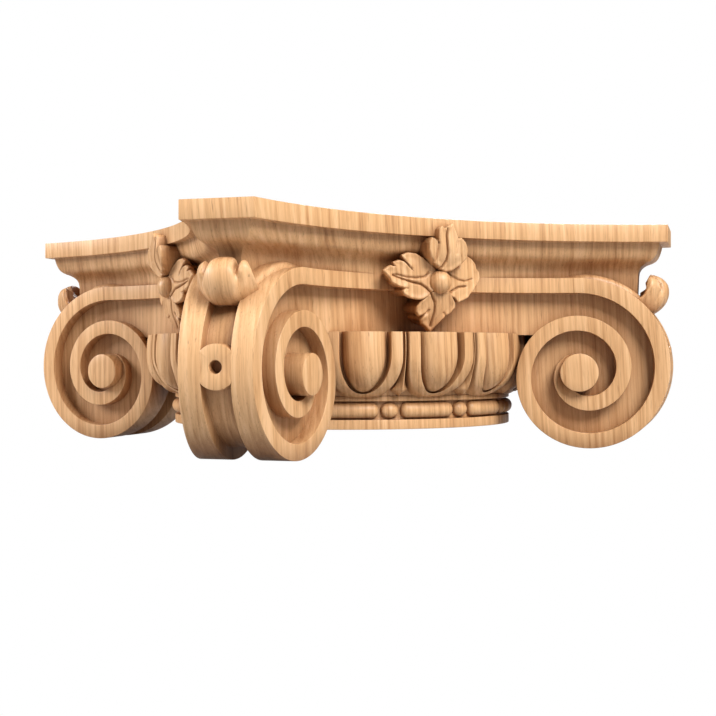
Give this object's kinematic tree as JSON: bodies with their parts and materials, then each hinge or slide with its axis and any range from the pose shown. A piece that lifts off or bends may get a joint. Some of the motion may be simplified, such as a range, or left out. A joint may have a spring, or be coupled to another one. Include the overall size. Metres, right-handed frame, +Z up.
{
  "type": "ionic capital",
  "caption": "Carved oak Ionic capital with diagonal volute pairs, egg and bead courses, face flowers and a hollow-sided abacus.",
  "frame": {"origin": "centre of the neck's flat underside, where the capital sits on its shaft", "axes": "+Z up towards the abacus; the four faces look along +X, -X, +Y and -Y, and the volute pairs stand on the diagonals"},
  "size_m": [0.27, 0.27, 0.1106],
  "materials": {
    "oak": "satin"
  },
  "bodies": {
    "root": {"ionic_capital": "oak"}
  },
  "joints": []
}
